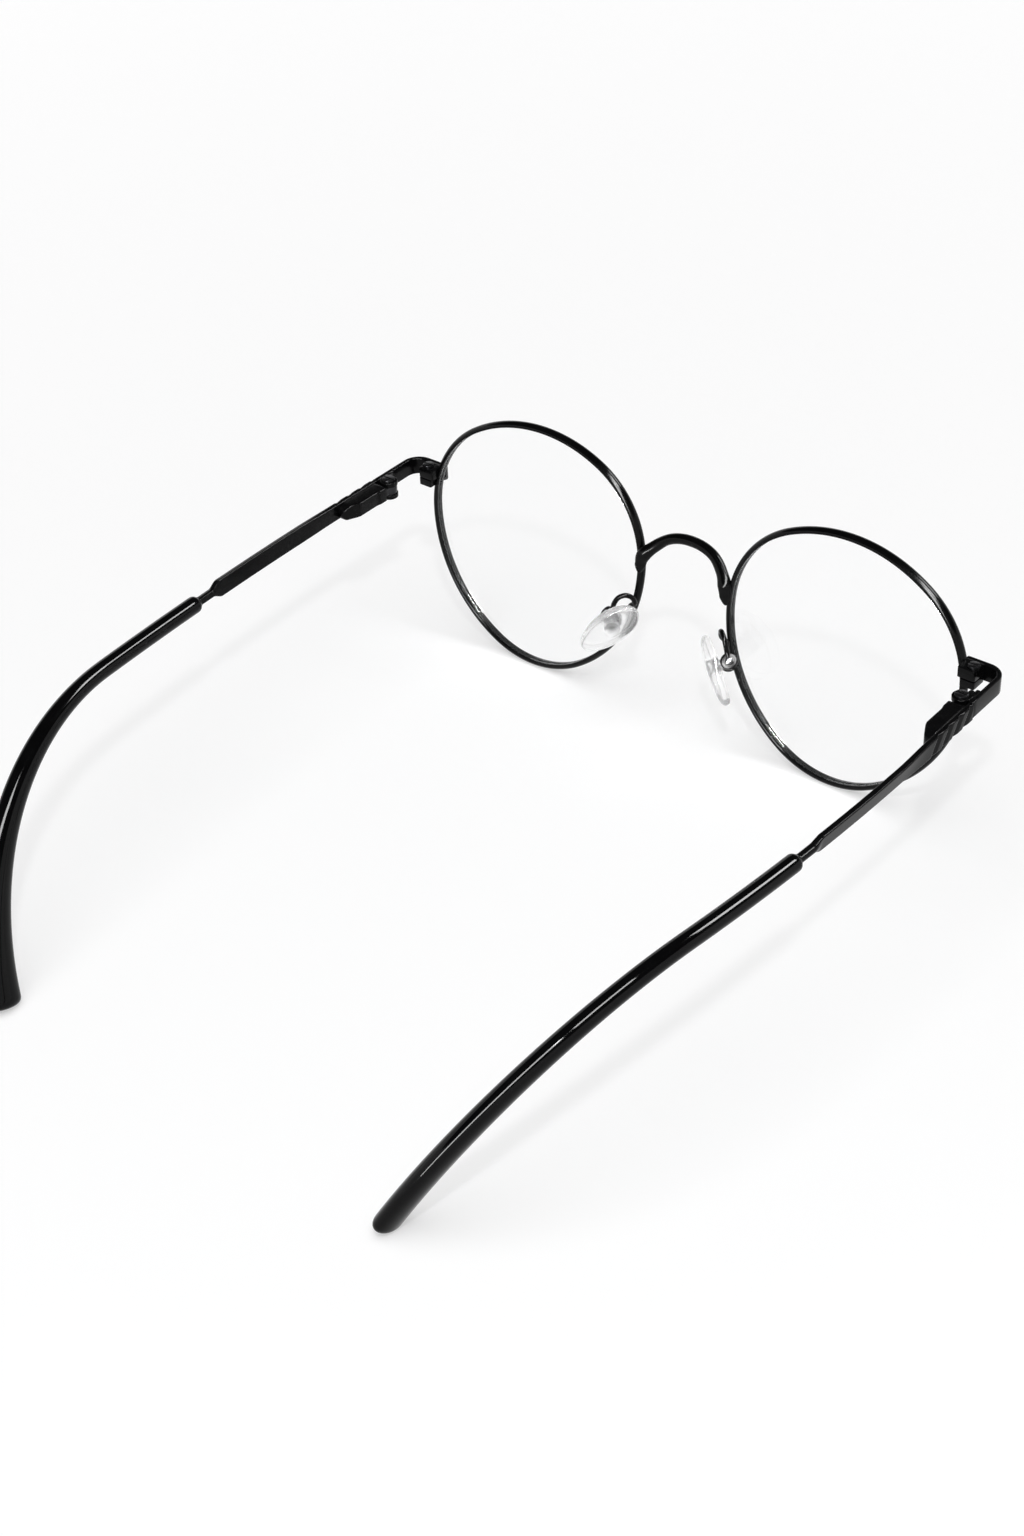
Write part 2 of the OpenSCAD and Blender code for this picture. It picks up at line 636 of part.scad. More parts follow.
module pad_insert(s) {
  stud_r = 0.95;
  plate_l = pocket_l - seat;
  color("lightgray") placed(s) at_pad() difference() {
    union() {
      translate([pad_t/2 - plate_l, 0, box_c[2]]) rotate([0, 90, 0])
        cylinder(r = pocket_r - 2*seat, h = plate_l, $fn = 48);
      translate([pad_t/2 - 0.1, -stud_w/2, box_c[2] - stud_r])
        cube([box_c[0] - pad_t/2 + 0.1, stud_w, 2*stud_r]);
      translate(box_c) rotate([90, 0, 0]) cylinder(r = stud_r, h = stud_w, center = true, $fn = fine);
    }
    translate(box_c) rotate([90, 0, 0])
      cylinder(r = pad_screw_r + run, h = 2*box_w, center = true, $fn = fine);
  }
}
module nose_pad(s) {
  // Layers from the crowned nose side to the back: place through the thickness and size
  layers = [[-0.5, 0.3], [-0.46, 0.62], [-0.36, 0.85], [-0.18, 0.97], [0.1, 1], [0.35, 0.97], [0.5, 0.88]];
  color("whitesmoke", 0.6) placed(s) at_pad() difference() {
    skin([
      for (l = layers)
        [for (a = [0:15:345])
          let (c = cos(a), q = sin(a))
          [l[0]*pad_t, l[1]*pad_w/2*q*(1 + 0.1*c), l[1]*pad_l/2*c]]
    ]);
    translate([pad_t/2 - pocket_l, 0, box_c[2]]) rotate([0, 90, 0])
      cylinder(r = pocket_r, h = pocket_l + 1, $fn = 48);
  }
}

bridge();
rim(1);  // rim_left
rim(-1);  // rim_right
lens(1);  // lens_left
lens(-1);  // lens_right
rim_block_upper(1);  // rim_block_upper_left
rim_block_upper(-1);  // rim_block_upper_right
rim_block_lower(1);  // rim_block_lower_left
rim_block_lower(-1);  // rim_block_lower_right
rim_screw(1);  // rim_screw_left
rim_screw(-1);  // rim_screw_right
end_piece(1);  // end_piece_left
end_piece(-1);  // end_piece_right
hinge_fork(1);  // hinge_fork_left
hinge_fork(-1);  // hinge_fork_right
hinge_screw(1);  // hinge_screw_left
hinge_screw(-1);  // hinge_screw_right
hinge_bush(1);  // hinge_bush_left
hinge_bush(-1);  // hinge_bush_right
hinge_slider(1);  // hinge_slider_left
hinge_slider(-1);  // hinge_slider_right
slider_nut(1);  // slider_nut_left
slider_nut(-1);  // slider_nut_right
flex_spring(1);  // flex_spring_left
flex_spring(-1);  // flex_spring_right
spring_housing(1);  // spring_housing_left
spring_housing(-1);  // spring_housing_right
temple_bar(1);  // temple_bar_left
temple_bar(-1);  // temple_bar_right
temple_tip(1);  // temple_tip_left
temple_tip(-1);  // temple_tip_right
pad_arm(1);  // pad_arm_left
pad_arm(-1);  // pad_arm_right
pad_screw(1);  // pad_screw_left
pad_screw(-1);  // pad_screw_right
pad_insert(1);  // pad_insert_left
pad_insert(-1);  // pad_insert_right
nose_pad(1);  // nose_pad_left
nose_pad(-1);  // nose_pad_right
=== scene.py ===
import math

import bmesh
import bpy
from mathutils import Matrix, Vector


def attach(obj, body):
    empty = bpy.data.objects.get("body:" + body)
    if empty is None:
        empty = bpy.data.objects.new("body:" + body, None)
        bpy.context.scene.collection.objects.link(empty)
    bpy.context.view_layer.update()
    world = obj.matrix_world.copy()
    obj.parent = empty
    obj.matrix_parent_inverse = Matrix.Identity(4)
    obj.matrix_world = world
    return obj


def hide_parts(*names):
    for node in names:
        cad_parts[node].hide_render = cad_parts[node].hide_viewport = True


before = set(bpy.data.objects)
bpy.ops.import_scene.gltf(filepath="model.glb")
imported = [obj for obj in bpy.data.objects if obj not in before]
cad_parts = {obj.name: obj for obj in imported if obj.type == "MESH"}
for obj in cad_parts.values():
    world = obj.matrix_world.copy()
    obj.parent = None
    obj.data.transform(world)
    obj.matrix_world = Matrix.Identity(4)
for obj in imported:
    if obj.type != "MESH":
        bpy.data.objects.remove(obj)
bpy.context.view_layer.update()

# Millimetres and degrees here, with the names and values of the CAD source. Meshes are made in metres.
lens_w, bridge_w, temple_l, tilt, wrap = 50, 20, 148.5, 6.5, 0.8
rim_t, rim_d, crown_r, lobe, lobe_turn = 1.15, 2.0, 1.1, 0.77, 3.5
groove, groove_w, slit = 0.4, 0.8, 0.3
lens_t, lens_r, lens_gap = 1.6, 132, 0.06
bridge_r, bridge_h, bridge_bow, foot_h = 1.05, 11.7, 1.4, 2.6
strip_t, strip_h, lug_t, corner_r, reach = 0.95, 3.5, 0.5, 3.6, 7.4
temple_up, seam_back = 7.3, 12.7
block_w, block_lap, block_d, lock_r, slit_down = 3.35, 0.5, 3.4, 0.6, 0.4
block_drop, lock_wall = 0.2, 0.55
pin_in, pin_ahead, knuckle_r, hinge_h, tongue_h = 1.85, 1.0, 1.75, 3.6, 1.6
screw_r, bush_t, run, gap, seat = 0.6, 0.25, 0.03, 0.08, 0.02
housing_l, housing_h, housing_back, rod_r = 11, 3.0, 1.2, 0.35
housing_taper, housing_end, house_wall, chamber_r = 3.4, 1.5, 0.3, 0.8
bar_step, bar_t, bar_h, bar_l, bar_straight = 0.3, 1.15, 3.3, 48, 13.6
bow_r, bow_rise, core_r, notches, notch_d, bar_edge = 610, 11, 0.85, 4, 0.3, 0.25
notch_pitch, notch_lean, notch_ramp, notch_rise = 3.5, 35, 1.3, 0.3
tip_at, bend_at, bend_r, bend_twist = 52.4, 79.5, 53.5, 14
tip_r, paddle_h, paddle_t = 1.65, 6.6, 3.8
pad_l, pad_w, pad_t, arm_r, box_r, pad_screw_r = 14, 7.6, 2.3, 0.5, 1.6, 0.45
pad_out, pad_back, pad_down = 2.2, 6.5, 8.35


def cosd(a):
    return math.cos(math.radians(a))


def sind(a):
    return math.sin(math.radians(a))


def dir2(a):
    return Vector((cosd(a), sind(a)))


def mixed(a, b, t):
    return a + (b - a) * t


# Rim outline: six arcs
edge_bevel = 0.3
rim_r = lens_w / 2 + edge_bevel
rim_x = (lens_w + bridge_w) / 2 + edge_bevel
arc_off = lobe / (1 - cosd(30))
tight_r = rim_r + lobe - arc_off
flat_r = rim_r - lobe + arc_off


def arc_dir(k):
    return 30 - lobe_turn + 60 * k


def arc_rad(k):
    return flat_r if k % 2 else tight_r


def arc_mid(k):
    return (-1 if k % 2 else 1) * arc_off * dir2(arc_dir(k))


def outline_r(t):
    """How far the outline is from the middle of the lens in direction t."""
    k = int(((t - arc_dir(0) + 30) % 360) // 60)
    m = arc_mid(k)
    b = m.dot(dir2(t))
    return b + math.sqrt(b * b + arc_rad(k) ** 2 - m.length_squared)


def outline_at(u):
    """Point and outward direction of the outline, u degrees of arc from the start of the first arc."""
    u %= 360
    k = int(u // 60)
    d = dir2(arc_dir(k) - 30 + u % 60)
    return arc_mid(k) + arc_rad(k) * d, d


rim_low = tight_r - arc_mid(4)[1] + rim_t / 2
rim_h = (rim_low - crown_r) * cosd(tilt) + crown_r
temple_z = rim_h + temple_up
side_x = rim_x + outline_r(0) + reach
front_face = -temple_up * math.tan(math.radians(tilt)) - rim_d / 2 - lug_t
seam_y = front_face + seam_back
strip_in = side_x - strip_t
pin = Vector((strip_in - pin_in, seam_y - pin_ahead, temple_z))
bar_out = side_x + bar_step
bar_x = bar_out - bar_t / 2
bar_in = bar_out - bar_t
lock_t = math.degrees(math.asin(temple_up / rim_r))
rim_out = rim_x + outline_r(lock_t) * cosd(lock_t) + rim_t / 2
block_top = temple_z + strip_h / 2
block_low = temple_z - strip_h / 2 - block_drop
block_out = rim_out + block_w - block_lap
lock = Vector((block_out - lock_wall - lock_r, front_face + strip_t + block_d / 2, 0))

# Temple path
bow_end = math.degrees((bend_at - bar_straight) / bow_r)
bow_out = Vector((cosd(bow_rise), 0, -sind(bow_rise)))
bow_up = Vector((sind(bow_rise), 0, cosd(bow_rise)))
bow_mid = Vector((bar_x, seam_y + bar_straight, temple_z)) - bow_r * bow_out


def bow_dir(a):
    return cosd(a) * bow_out + sind(a) * Vector((0, 1, 0))


bend_p = bow_mid + bow_r * bow_dir(bow_end)
bend_fwd = bow_dir(bow_end + 90)
bend_down = -cosd(bend_twist) * bow_up - sind(bend_twist) * bow_dir(bow_end)
bend_side = sind(bend_twist) * bow_up - cosd(bend_twist) * bow_dir(bow_end)


def temple_pt(s):
    """The middle of the temple at s from the seam: straight, then along the bow, then down the bend."""
    if s < bar_straight:
        return Vector((bar_x, seam_y + s, temple_z))
    if s < bend_at:
        return bow_mid + bow_r * bow_dir(math.degrees((s - bar_straight) / bow_r))
    a = math.degrees((s - bend_at) / bend_r)
    return bend_p + bend_r * sind(a) * bend_fwd + bend_r * (1 - cosd(a)) * bend_down


lean_in, twist_in = 10, 20


def smooth01(t):
    t = min(max(t, 0), 1)
    return t * t * (3 - 2 * t)


def temple_frame(s):
    """Inward side and up directions at s; the lean of the bow comes in softly after the straight part."""
    a = math.degrees(max(0, s - bend_at) / bend_r)
    if s >= bend_at:
        return bend_side, -cosd(a) * bend_down + sind(a) * bend_fwd
    up0 = Vector((0, 0, 1)).lerp(bow_up, smooth01((s - bar_straight) / lean_in))
    up = up0.lerp(-bend_down, smooth01((s - bar_l) / twist_in)).normalized()
    b = math.degrees(max(0, s - bar_straight) / bow_r)
    along = Vector((0, 1, 0)) if s < bar_straight else bow_dir(b + 90)
    return up.cross(along).normalized(), up


def across(s, points):
    """Where the points of a section lie at s along the temple: x inward and y up."""
    side, up = temple_frame(s)
    c = temple_pt(s)
    return [c + x * side + y * up for x, y in points]


def tip_size(s):
    """Half width and half height of the tip at s."""
    g = smooth01((s - bend_at) / (temple_l - bend_at))
    return mixed(tip_r, paddle_t / 2, g), mixed(tip_r, paddle_h / 2, g)


bulge = math.sqrt(lens_r ** 2 - lens_w ** 2 / 4) - lens_t / 2
fore_y = min(bulge * cosd(tilt) - lens_r,
             -(outline_r(90) + rim_t / 2) * sind(tilt) - rim_d / 2 * cosd(tilt))


def tip_back():
    """How far back the tips reach, with their rounded ends."""
    far = 0
    for i in range(200):
        s = bend_at + (temple_l - bend_at) * i / 199
        w, h = tip_size(s)
        k = math.sqrt(max(0, 1 - max(0, 1 - (temple_l - s) / (paddle_t / 2)) ** 2))
        side, up = temple_frame(s)
        far = max(far, temple_pt(s)[1] + k * math.hypot(w * side[1], h * up[1]))
    return far


# Midway along the object, from its front to how far the tips reach back
mid_y = (tip_back() + fore_y) / 2


def on_front(p):
    """From the upright front to the tilted one on the table."""
    return Vector((p[0], p[1] * cosd(tilt) - p[2] * sind(tilt),
                   p[1] * sind(tilt) + p[2] * cosd(tilt) + rim_h))


def at_rim(x, y, z):
    """From one rim's own plane: x outward, y up and z forward."""
    return on_front((rim_x + x * cosd(wrap) + z * sind(wrap), x * sind(wrap) - z * cosd(wrap), y))


# Mesh making

def soft(corners, r, n):
    """A closed outline with each corner rounded; r is one radius or one for each corner."""
    pts = [Vector(c) for c in corners]
    sizes = r if isinstance(r, (list, tuple)) else [r] * len(pts)
    out = []
    for i, (p, q) in enumerate(zip(pts, sizes)):
        a = pts[i - 1] - p
        b = pts[(i + 1) % len(pts)] - p
        if q <= 0:
            out.append(p)
            continue
        a = p + a.normalized() * min(q, a.length * 0.49)
        b = p + b.normalized() * min(q, b.length * 0.49)
        for j in range(n + 1):
            t = j / n
            out.append(a * (1 - t) ** 2 + p * 2 * t * (1 - t) + b * t * t)
    return out


def circle(r, n, mid=(0, 0), start=0, turn=360):
    """Points of a whole circle, or of an arc with both its ends."""
    m = n if turn == 360 else n + 1
    return [Vector((mid[0] + r * cosd(start + turn * i / n), mid[1] + r * sind(start + turn * i / n)))
            for i in range(m)]


def skin(rings):
    """A closed skin over rings of as many points each, with a flat end on the first and the last."""
    n, m = len(rings[0]), len(rings)
    verts = [p for r in rings for p in r]
    faces = [[i * n + j, (i + 1) * n + j, (i + 1) * n + (j + 1) % n, i * n + (j + 1) % n]
             for i in range(m - 1) for j in range(n)]
    faces += [list(range(n)), [(m - 1) * n + j for j in range(n)]]
    return verts, faces


sharp = 0.6


def slab(plan, low, high, edge, holes=(), steps=3, at=lambda p: p):
    """A plan with holes, raised from low to high; what bends by over sharp radians is rounded by edge."""
    bm = bmesh.new()
    edges = []
    for points in (plan, *holes):
        loop = [bm.verts.new((p[0], p[1], low)) for p in points]
        edges += [bm.edges.new((loop[i - 1], loop[i])) for i in range(len(loop))]
    if holes:
        bmesh.ops.triangle_fill(bm, use_beauty=True, use_dissolve=False, edges=edges)
    else:
        bm.faces.new(loop)
    top = bmesh.ops.extrude_face_region(bm, geom=bm.faces[:])
    for v in top["geom"]:
        if isinstance(v, bmesh.types.BMVert):
            v.co.z = high
    bmesh.ops.recalc_face_normals(bm, faces=bm.faces)
    if edge:
        hard = [e for e in bm.edges if len(e.link_faces) == 2 and e.calc_face_angle(0) > sharp]
        bmesh.ops.bevel(bm, geom=hard, offset=edge, segments=steps, profile=0.5, affect="EDGES",
                        clamp_overlap=True)
    bm.verts.index_update()
    made = [at(v.co.copy()) for v in bm.verts], [[v.index for v in f.verts] for f in bm.faces]
    bm.free()
    return made


def lathe(profile, n, at=lambda p: p):
    """Turned round z, from (radius, height) pairs that start and end on the axis."""
    verts, faces, rows = [], [], []
    for r, z in profile:
        if r < 1e-6:
            rows.append([len(verts)])
            verts.append(at(Vector((0, 0, z))))
        else:
            rows.append([len(verts) + j for j in range(n)])
            verts += [at(Vector((r * cosd(360 * j / n), r * sind(360 * j / n), z))) for j in range(n)]
    for a, b in zip(rows, rows[1:]):
        for j in range(n):
            k = (j + 1) % n
            if len(a) == 1:
                faces.append([a[0], b[j], b[k]])
            elif len(b) == 1:
                faces.append([a[j], b[0], a[k]])
            else:
                faces.append([a[j], b[j], b[k], a[k]])
    return verts, faces


def round_rect(w, h, r, n):
    """Points of a rounded rectangle with half sizes w and h, n + 1 for each corner."""
    out = []
    for k, mid in enumerate(((w - r, h - r), (r - w, h - r), (r - w, r - h), (w - r, r - h))):
        out += circle(r, n, mid, 90 * k, 90)
    return out


def spline(p, t):
    """A smooth path through the points p, which passes point i at t = i."""
    i = min(int(t), len(p) - 2)
    f = t - i
    a, b, c, d = (Vector(p[k]) for k in (max(i - 1, 0), i, i + 1, min(i + 2, len(p) - 1)))
    return 0.5 * (2 * b + (c - a) * f + (2 * a - 5 * b + 4 * c - d) * f * f
                  + (3 * b - a - 3 * c + d) * f ** 3)


def spline_dir(p, t):
    return (spline(p, min(t + 0.02, len(p) - 1)) - spline(p, max(t - 0.02, 0))).normalized()


def screw(head_r, head_h, shank_r, low, top, at):
    """A screw whose slotted head sits on height top."""
    slot, cut, soften = 0.3, 0.22, 0.08
    brim = top + head_h - cut
    shapes = [lathe([(0, low), (shank_r - 0.05, low), (shank_r, low + 0.05), (shank_r, top),
                     (head_r, top), (head_r, brim), (0, brim)], 40, at)]
    a = math.degrees(math.asin(slot / 2 / head_r))
    for turn in (0, 180):
        half = circle(head_r, 28, start=turn + a, turn=180 - 2 * a)
        shapes.append(slab(half, brim - 0.01, top + head_h, soften, at=at, steps=2))
    return shapes


def in_metres(p, s=1):
    """A point of the left side, or of its mirror image with s = -1, where the frame has it."""
    return s * p[0] / 1000, (p[1] - mid_y) / 1000, p[2] / 1000


def piece(name, shapes, s, body, material, replaces, crease=35):
    """One mesh from shapes in the left side's millimetres; edges over crease degrees stay sharp."""
    verts, faces = [], []
    for points, polygons in shapes:
        base = len(verts)
        verts += [in_metres(p, s) for p in points]
        faces += [[base + i for i in f] for f in polygons]
    mesh = bpy.data.meshes.new(name)
    mesh.from_pydata(verts, [], faces)
    bm = bmesh.new()
    bm.from_mesh(mesh)
    bmesh.ops.recalc_face_normals(bm, faces=bm.faces)
    for f in bm.faces:
        f.smooth = True
    bm.to_mesh(mesh)
    bm.free()
    mesh.set_sharp_from_angle(angle=math.radians(crease))
    mesh.materials.append(material)
    obj = bpy.data.objects.new(name, mesh)
    bpy.context.scene.collection.objects.link(obj)
    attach(obj, body)
    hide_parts(*replaces)


# Materials

bump_depth = 0.00001


def nodes_of(name):
    mat = bpy.data.materials.new(name)
    mat.use_nodes = True
    nt = mat.node_tree
    return mat, nt, nt.nodes["Principled BSDF"]


def combined(nt, operation, *terms):
    """The result of a math node, whose terms are numbers or sockets."""
    node = nt.nodes.new("ShaderNodeMath")
    node.operation = operation
    for socket, term in zip(node.inputs, terms):
        if isinstance(term, (int, float)):
            socket.default_value = term
        else:
            nt.links.new(term, socket)
    return node.outputs[0]


def noise(nt, scale, detail=3.0):
    coord = nt.nodes.new("ShaderNodeTexCoord")
    tex = nt.nodes.new("ShaderNodeTexNoise")
    tex.inputs["Scale"].default_value = scale
    tex.inputs["Detail"].default_value = detail
    nt.links.new(coord.outputs["Object"], tex.inputs["Vector"])
    return tex.outputs["Fac"]


def ranged(nt, fac, low, high, start=0.3, stop=0.7):
    """From low to high while fac goes from start to stop."""
    m = nt.nodes.new("ShaderNodeMapRange")
    m.inputs["From Min"].default_value = start
    m.inputs["From Max"].default_value = stop
    m.inputs["To Min"].default_value = low
    m.inputs["To Max"].default_value = high
    nt.links.new(fac, m.inputs["Value"])
    return m.outputs["Result"]


def two_tone(nt, fac, a, b):
    ramp = nt.nodes.new("ShaderNodeValToRGB")
    ramp.color_ramp.elements[0].position = 0.35
    ramp.color_ramp.elements[1].position = 0.65
    ramp.color_ramp.elements[0].color = (*a, 1)
    ramp.color_ramp.elements[1].color = (*b, 1)
    nt.links.new(fac, ramp.inputs["Fac"])
    return ramp.outputs["Color"]


def bumped(nt, shader, fac, strength):
    b = nt.nodes.new("ShaderNodeBump")
    b.inputs["Strength"].default_value = strength
    b.inputs["Distance"].default_value = bump_depth
    nt.links.new(fac, b.inputs["Height"])
    nt.links.new(b.outputs["Normal"], shader.inputs["Normal"])


def surface(name, dark, light, rough, metallic, grain, bump=0.15, shine=0.5):
    """A solid finish: two close tones in soft clouds, uneven gloss and a fine grain."""
    clouds, patches = 220, 700
    mat, nt, bsdf = nodes_of(name)
    nt.links.new(two_tone(nt, noise(nt, clouds), dark, light), bsdf.inputs["Base Color"])
    nt.links.new(ranged(nt, noise(nt, patches, 4), *rough), bsdf.inputs["Roughness"])
    bumped(nt, bsdf, noise(nt, grain, 2), bump)
    bsdf.inputs["Metallic"].default_value = metallic
    bsdf.inputs["Specular IOR Level"].default_value = shine
    return mat


def film(name, tint, rough, metallic, grain, bump, least, rise, power, bends=0.0, ior=1.5, window=None):
    """A see-through finish: some light goes straight on, less of it the flatter the surface is seen, and
    the share bends goes through the solid. With a window, a place in metres, the finish is thinner round
    that place, on both sides of the object."""
    clouds, patches = 60, 120
    window_share, window_r, window_out = 0.3, 0.0013, 0.0017
    mat, nt, bsdf = nodes_of(name)
    nt.links.new(two_tone(nt, noise(nt, clouds), *tint), bsdf.inputs["Base Color"])
    nt.links.new(ranged(nt, noise(nt, patches), *rough), bsdf.inputs["Roughness"])
    bumped(nt, bsdf, noise(nt, grain, 1), bump)
    bsdf.inputs["Metallic"].default_value = metallic
    bsdf.inputs["Transmission Weight"].default_value = bends
    bsdf.inputs["IOR"].default_value = ior
    seen = nt.nodes.new("ShaderNodeLayerWeight")
    seen.inputs["Blend"].default_value = 0.5
    flat = combined(nt, "POWER", seen.outputs["Facing"], power)
    alpha = combined(nt, "MULTIPLY_ADD", flat, rise, least)
    if window:
        coord = nt.nodes.new("ShaderNodeTexCoord")
        both = nt.nodes.new("ShaderNodeVectorMath")
        both.operation = "ABSOLUTE"
        apart = nt.nodes.new("ShaderNodeVectorMath")
        apart.operation = "DISTANCE"
        apart.inputs[1].default_value = [abs(v) for v in window]
        nt.links.new(coord.outputs["Object"], both.inputs[0])
        nt.links.new(both.outputs["Vector"], apart.inputs[0])
        share = ranged(nt, apart.outputs["Value"], window_share, 1.0, window_r, window_out)
        alpha = combined(nt, "MULTIPLY", alpha, share)
    nt.links.new(alpha, bsdf.inputs["Alpha"])
    return mat


black = surface("black_lacquer", (0.0028, 0.0028, 0.003), (0.0042, 0.0042, 0.0044), (0.15, 0.22),
                metallic=0.0, grain=9000, bump=0.06, shine=0.09)
wire_black = surface("black_wire", (0.002, 0.002, 0.0022), (0.0032, 0.0032, 0.0034), (0.11, 0.16),
                     metallic=0.0, grain=9000, bump=0.02, shine=0.12)
gloss = surface("gloss_black", (0.002, 0.002, 0.0022), (0.003, 0.003, 0.0032), (0.05, 0.09),
                metallic=0.0, grain=500, bump=0.02, shine=0.12)
steel = surface("bright_steel", (0.3, 0.3, 0.31), (0.36, 0.36, 0.37), (0.14, 0.2),
                metallic=1.0, grain=5000, bump=0.1)
dark_steel = surface("dark_steel", (0.02, 0.02, 0.022), (0.035, 0.035, 0.037), (0.24, 0.36),
                     metallic=0.9, grain=5000)
bronze = surface("bronze", (0.5, 0.33, 0.15), (0.58, 0.39, 0.18), (0.3, 0.42), metallic=1.0, grain=4000)
core_grey = surface("core_plate", (0.1, 0.1, 0.103), (0.14, 0.14, 0.144), (0.3, 0.42),
                    metallic=0.3, grain=3000, bump=0.2)
glass = film("clear_lens", ((0.93, 0.95, 0.96), (0.96, 0.97, 0.975)), (0.0, 0.012),
             metallic=1.0, grain=90, bump=0.01, least=0.03, rise=0.6, power=5.0)


# Rim

def rim_section():
    """The eyewire's section: a crowned outer side and the lens groove on the inner one."""
    a = math.degrees(math.asin(rim_d / 2 / crown_r))
    e = rim_t / 2 - crown_r
    x, d = -rim_t / 2, rim_d / 2
    crown = [(e + crown_r * cosd(a * i / 8), crown_r * sind(a * i / 8)) for i in range(-8, 9)]
    inner = [(x, d), (x, groove_w / 2), (x + groove, groove_w / 4),
             (x + groove, -groove_w / 4), (x, -groove_w / 2), (x, -d)]
    sizes = [0.22] + [0] * 15 + [0.22] + [0.16, 0.08, 0.05, 0.05, 0.08, 0.16]
    return soft(crown + inner, sizes, 3)


def rim_shape():
    """The eyewire, swept from one side of the slit round to the other."""
    height = (temple_z - slit_down - rim_h) / cosd(tilt)
    u0 = math.degrees(math.asin((height - arc_mid(0)[1]) / tight_r)) - arc_dir(0) + 30
    half = math.degrees(slit / 2 / tight_r)
    section = rim_section()
    rings = []
    for i in range(289):
        c, d = outline_at(u0 + half + (360 - 2 * half) * i / 288)
        rings.append([at_rim(c[0] + q[0] * d[0], c[1] + q[0] * d[1], q[1]) for q in section])
    return skin(rings)


def lens_shape():
    """The dish, from the middle of its front over the stepped edge in the groove to that of its back."""
    n = 144
    around = [outline_at(360 * i / n) for i in range(n)]
    shares = (0.002, 0.15, 0.3, 0.45, 0.6, 0.72, 0.83, 0.92, 0.97, 0.994)
    rim_in = rim_t / 2 + lens_gap
    lip = groove_w / 4 - lens_gap
    soft_edge, soft_lip = 0.12, 0.1

    def front(r):
        return math.sqrt(lens_r ** 2 - r * r) - bulge

    def back(r):
        return front(r) - lens_t

    def ring(inset, share, height):
        out = []
        for c, d in around:
            p = (c - inset * d) * share
            out.append(at_rim(p[0], p[1], height(p.length)))
        return out

    rings = [ring(rim_in, f, front) for f in shares]
    rings += [ring(rim_in, 1, lambda r: front(r) - soft_edge), ring(rim_in, 1, lambda r: lip + soft_lip)]
    for inset, z in ((rim_in - soft_lip, lip), (rim_in - groove, lip),
                     (rim_in - groove, -lip), (rim_in - soft_lip, -lip)):
        rings.append(ring(inset, 1, lambda r: z))
    rings += [ring(rim_in, 1, lambda r: -lip - soft_lip), ring(rim_in, 1, lambda r: back(r) + soft_edge)]
    return skin(rings + [ring(rim_in, f, back) for f in reversed(shares)])


# Bridge

def rim_pt(t):
    """The outline's point in direction t, before the front is tilted."""
    r = outline_r(t)
    return Vector((rim_x + r * cosd(t) * cosd(wrap), r * cosd(t) * sind(wrap), r * sind(t)))


foot_gap = 0.04


def foot_pt(h, r, a):
    """A point of the foot's middle line at height h, r and the gap off the rim's crown in direction a."""
    p = rim_pt(180 - math.degrees(math.asin(h / rim_r)))
    d = crown_r + r + foot_gap
    return Vector((p[0] + crown_r - rim_t / 2 - d * cosd(a), p[1] + d * sind(a), h))


def bridge_shape():
    """The round wire and the leaf that it ends in at each rim."""
    arch_x = bridge_w / 2
    half = [foot_pt(foot_h, 0.35, 62), foot_pt(foot_h + 2, 0.6, 55), foot_pt(foot_h + 4, 0.95, 35),
            Vector((arch_x - 2.4, -0.2 * bridge_bow, bridge_h - 3.1)),
            Vector((arch_x - 4.6, -0.75 * bridge_bow, bridge_h - 1.3)),
            Vector((2.8, -0.95 * bridge_bow, bridge_h - 0.3)), Vector((0, -bridge_bow, bridge_h))]
    # Half width along the rim's side, half thickness and lean of the leaf at each point
    wide = [0.35, 1.05, 1.32, 1.12, 1, 1, 1]
    thick = [0.24, 0.42, 0.82, 1, 1, 1, 1]
    lean = [28, 30, 20, 0, 0, 0, 0]
    path = half + [Vector((-p[0], p[1], p[2])) for p in half[-2::-1]]
    wide, thick = wide + wide[-2::-1], thick + thick[-2::-1]
    lean = lean + [-a for a in lean[-2::-1]]
    steps = 10 * (len(path) - 1)
    rings = []
    for i in range(steps + 1):
        t = i / 10
        k = min(int(t), len(path) - 2)
        f = smooth01(t - k)
        w, h, a = (mixed(q[k], q[k + 1], f) for q in (wide, thick, lean))
        rounding = (0.35, 0.75, 0.93, 1)[min(i, steps - i, 3)]
        d = spline_dir(path, t)
        x = Vector((0, 1, 0)).cross(d).normalized()
        y = d.cross(x)
        turn = Matrix.Rotation(math.radians(a), 3, d)
        x, y = turn @ x, turn @ y
        c = spline(path, t)
        r = bridge_r * rounding
        rings.append([on_front(c + w * q[0] * x + h * q[1] * y) for q in circle(r, 24)])
    return skin(rings)


piece("bridge_wire", [bridge_shape()], 1, "front", wire_black, ["bridge"], 50)


# Pads

pad_c = Vector((bridge_w / 2 + pad_out, pad_back, -pad_down))
pad_turn = Matrix.Identity(3)
for angle, axis in ((-47.6, "Z"), (-16.9, "Y"), (40.7, "X")):
    pad_turn = pad_turn @ Matrix.Rotation(math.radians(angle), 3, axis)
box_c = Vector((pad_t / 2 + 0.35 + box_r, 0, 0.7))
slot_w, ear_w = 1.2, 0.85
stud_w = slot_w - 2 * gap
pocket_r, pocket_l, stud_r = 1.5, 1.0, 0.95
arm_root, web_at, bolt_r, bolt_up = 5.4, 1.0, 0.7, 0.3


def at_pad(p):
    return on_front(pad_c + pad_turn @ Vector(p))


def across_box(p):
    """From a plan in the box's plane: its x and y run along x and z of the pad, its height across it."""
    return at_pad(box_c + Vector((p[0], p[2], p[1])))


